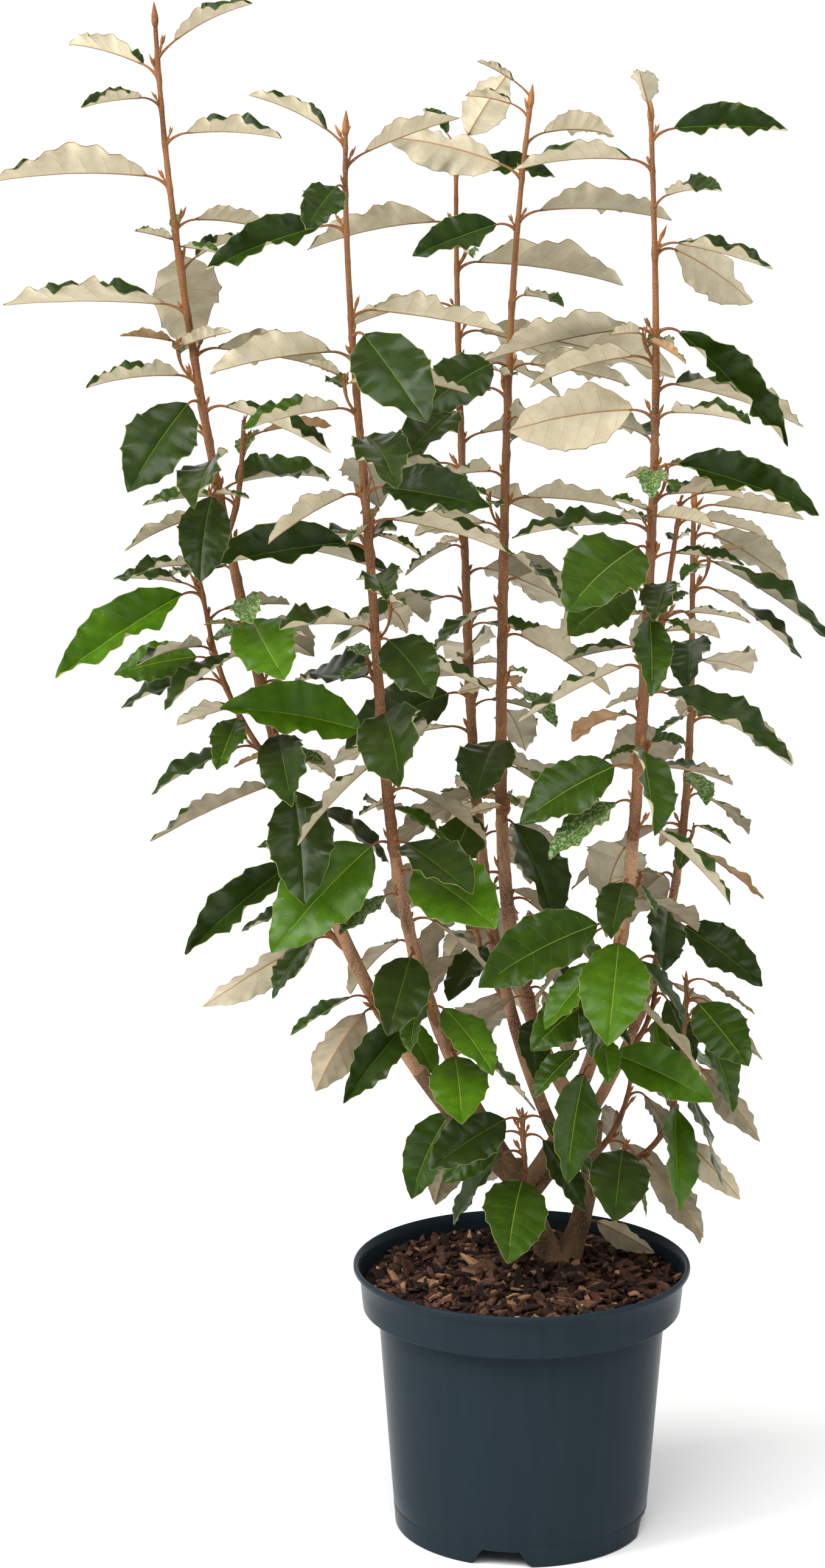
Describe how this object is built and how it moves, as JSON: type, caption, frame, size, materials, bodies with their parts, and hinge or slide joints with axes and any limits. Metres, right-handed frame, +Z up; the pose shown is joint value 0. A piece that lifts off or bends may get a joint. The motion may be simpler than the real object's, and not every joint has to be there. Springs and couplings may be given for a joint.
{
  "type": "potted silverberry shrub",
  "caption": "Tall open evergreen shrub with keeled silvery-backed leaves on upright brown canes, standing in a round dark nursery pot.",
  "frame": {"origin": "middle of the pot's flat underside, on the pot's axis", "axes": "+Z up along the pot's axis, front of the plant towards -Y, +X to the right seen from the front"},
  "size_m": [0.5422, 0.3425, 1.0281],
  "materials": {
    "pot_plastic": "moulded polypropylene, dark slate grey, satin",
    "bark_mulch": "composted bark chips over potting mix, dull",
    "bark": "young tan-brown bark with fine scales",
    "foliage": "leathery leaves, glossy green above and silvery cream below"
  },
  "bodies": {
    "root": {"pot": "pot_plastic", "soil": "bark_mulch", "trunk": "bark", "left_bough": "bark", "left_front_bough": "bark", "back_bough": "bark", "centre_bough": "bark", "right_bough": "bark", "right_back_bough": "bark", "left_foliage": "foliage", "left_front_foliage": "foliage", "back_foliage": "foliage", "centre_foliage": "foliage", "right_foliage": "foliage", "right_back_foliage": "foliage", "low_left_upper_foliage": "foliage", "low_left_foliage": "foliage", "low_left_front_foliage": "foliage", "low_front_foliage": "foliage", "low_right_front_foliage": "foliage", "low_middle_front_foliage": "foliage", "low_back_left_foliage": "foliage", "low_back_foliage": "foliage", "low_middle_foliage": "foliage", "low_right_back_foliage": "foliage", "foot_left_foliage": "foliage", "foot_front_foliage": "foliage", "foot_right_foliage": "foliage", "foot_right_front_foliage": "foliage", "foot_right_back_foliage": "foliage"}
  },
  "joints": []
}
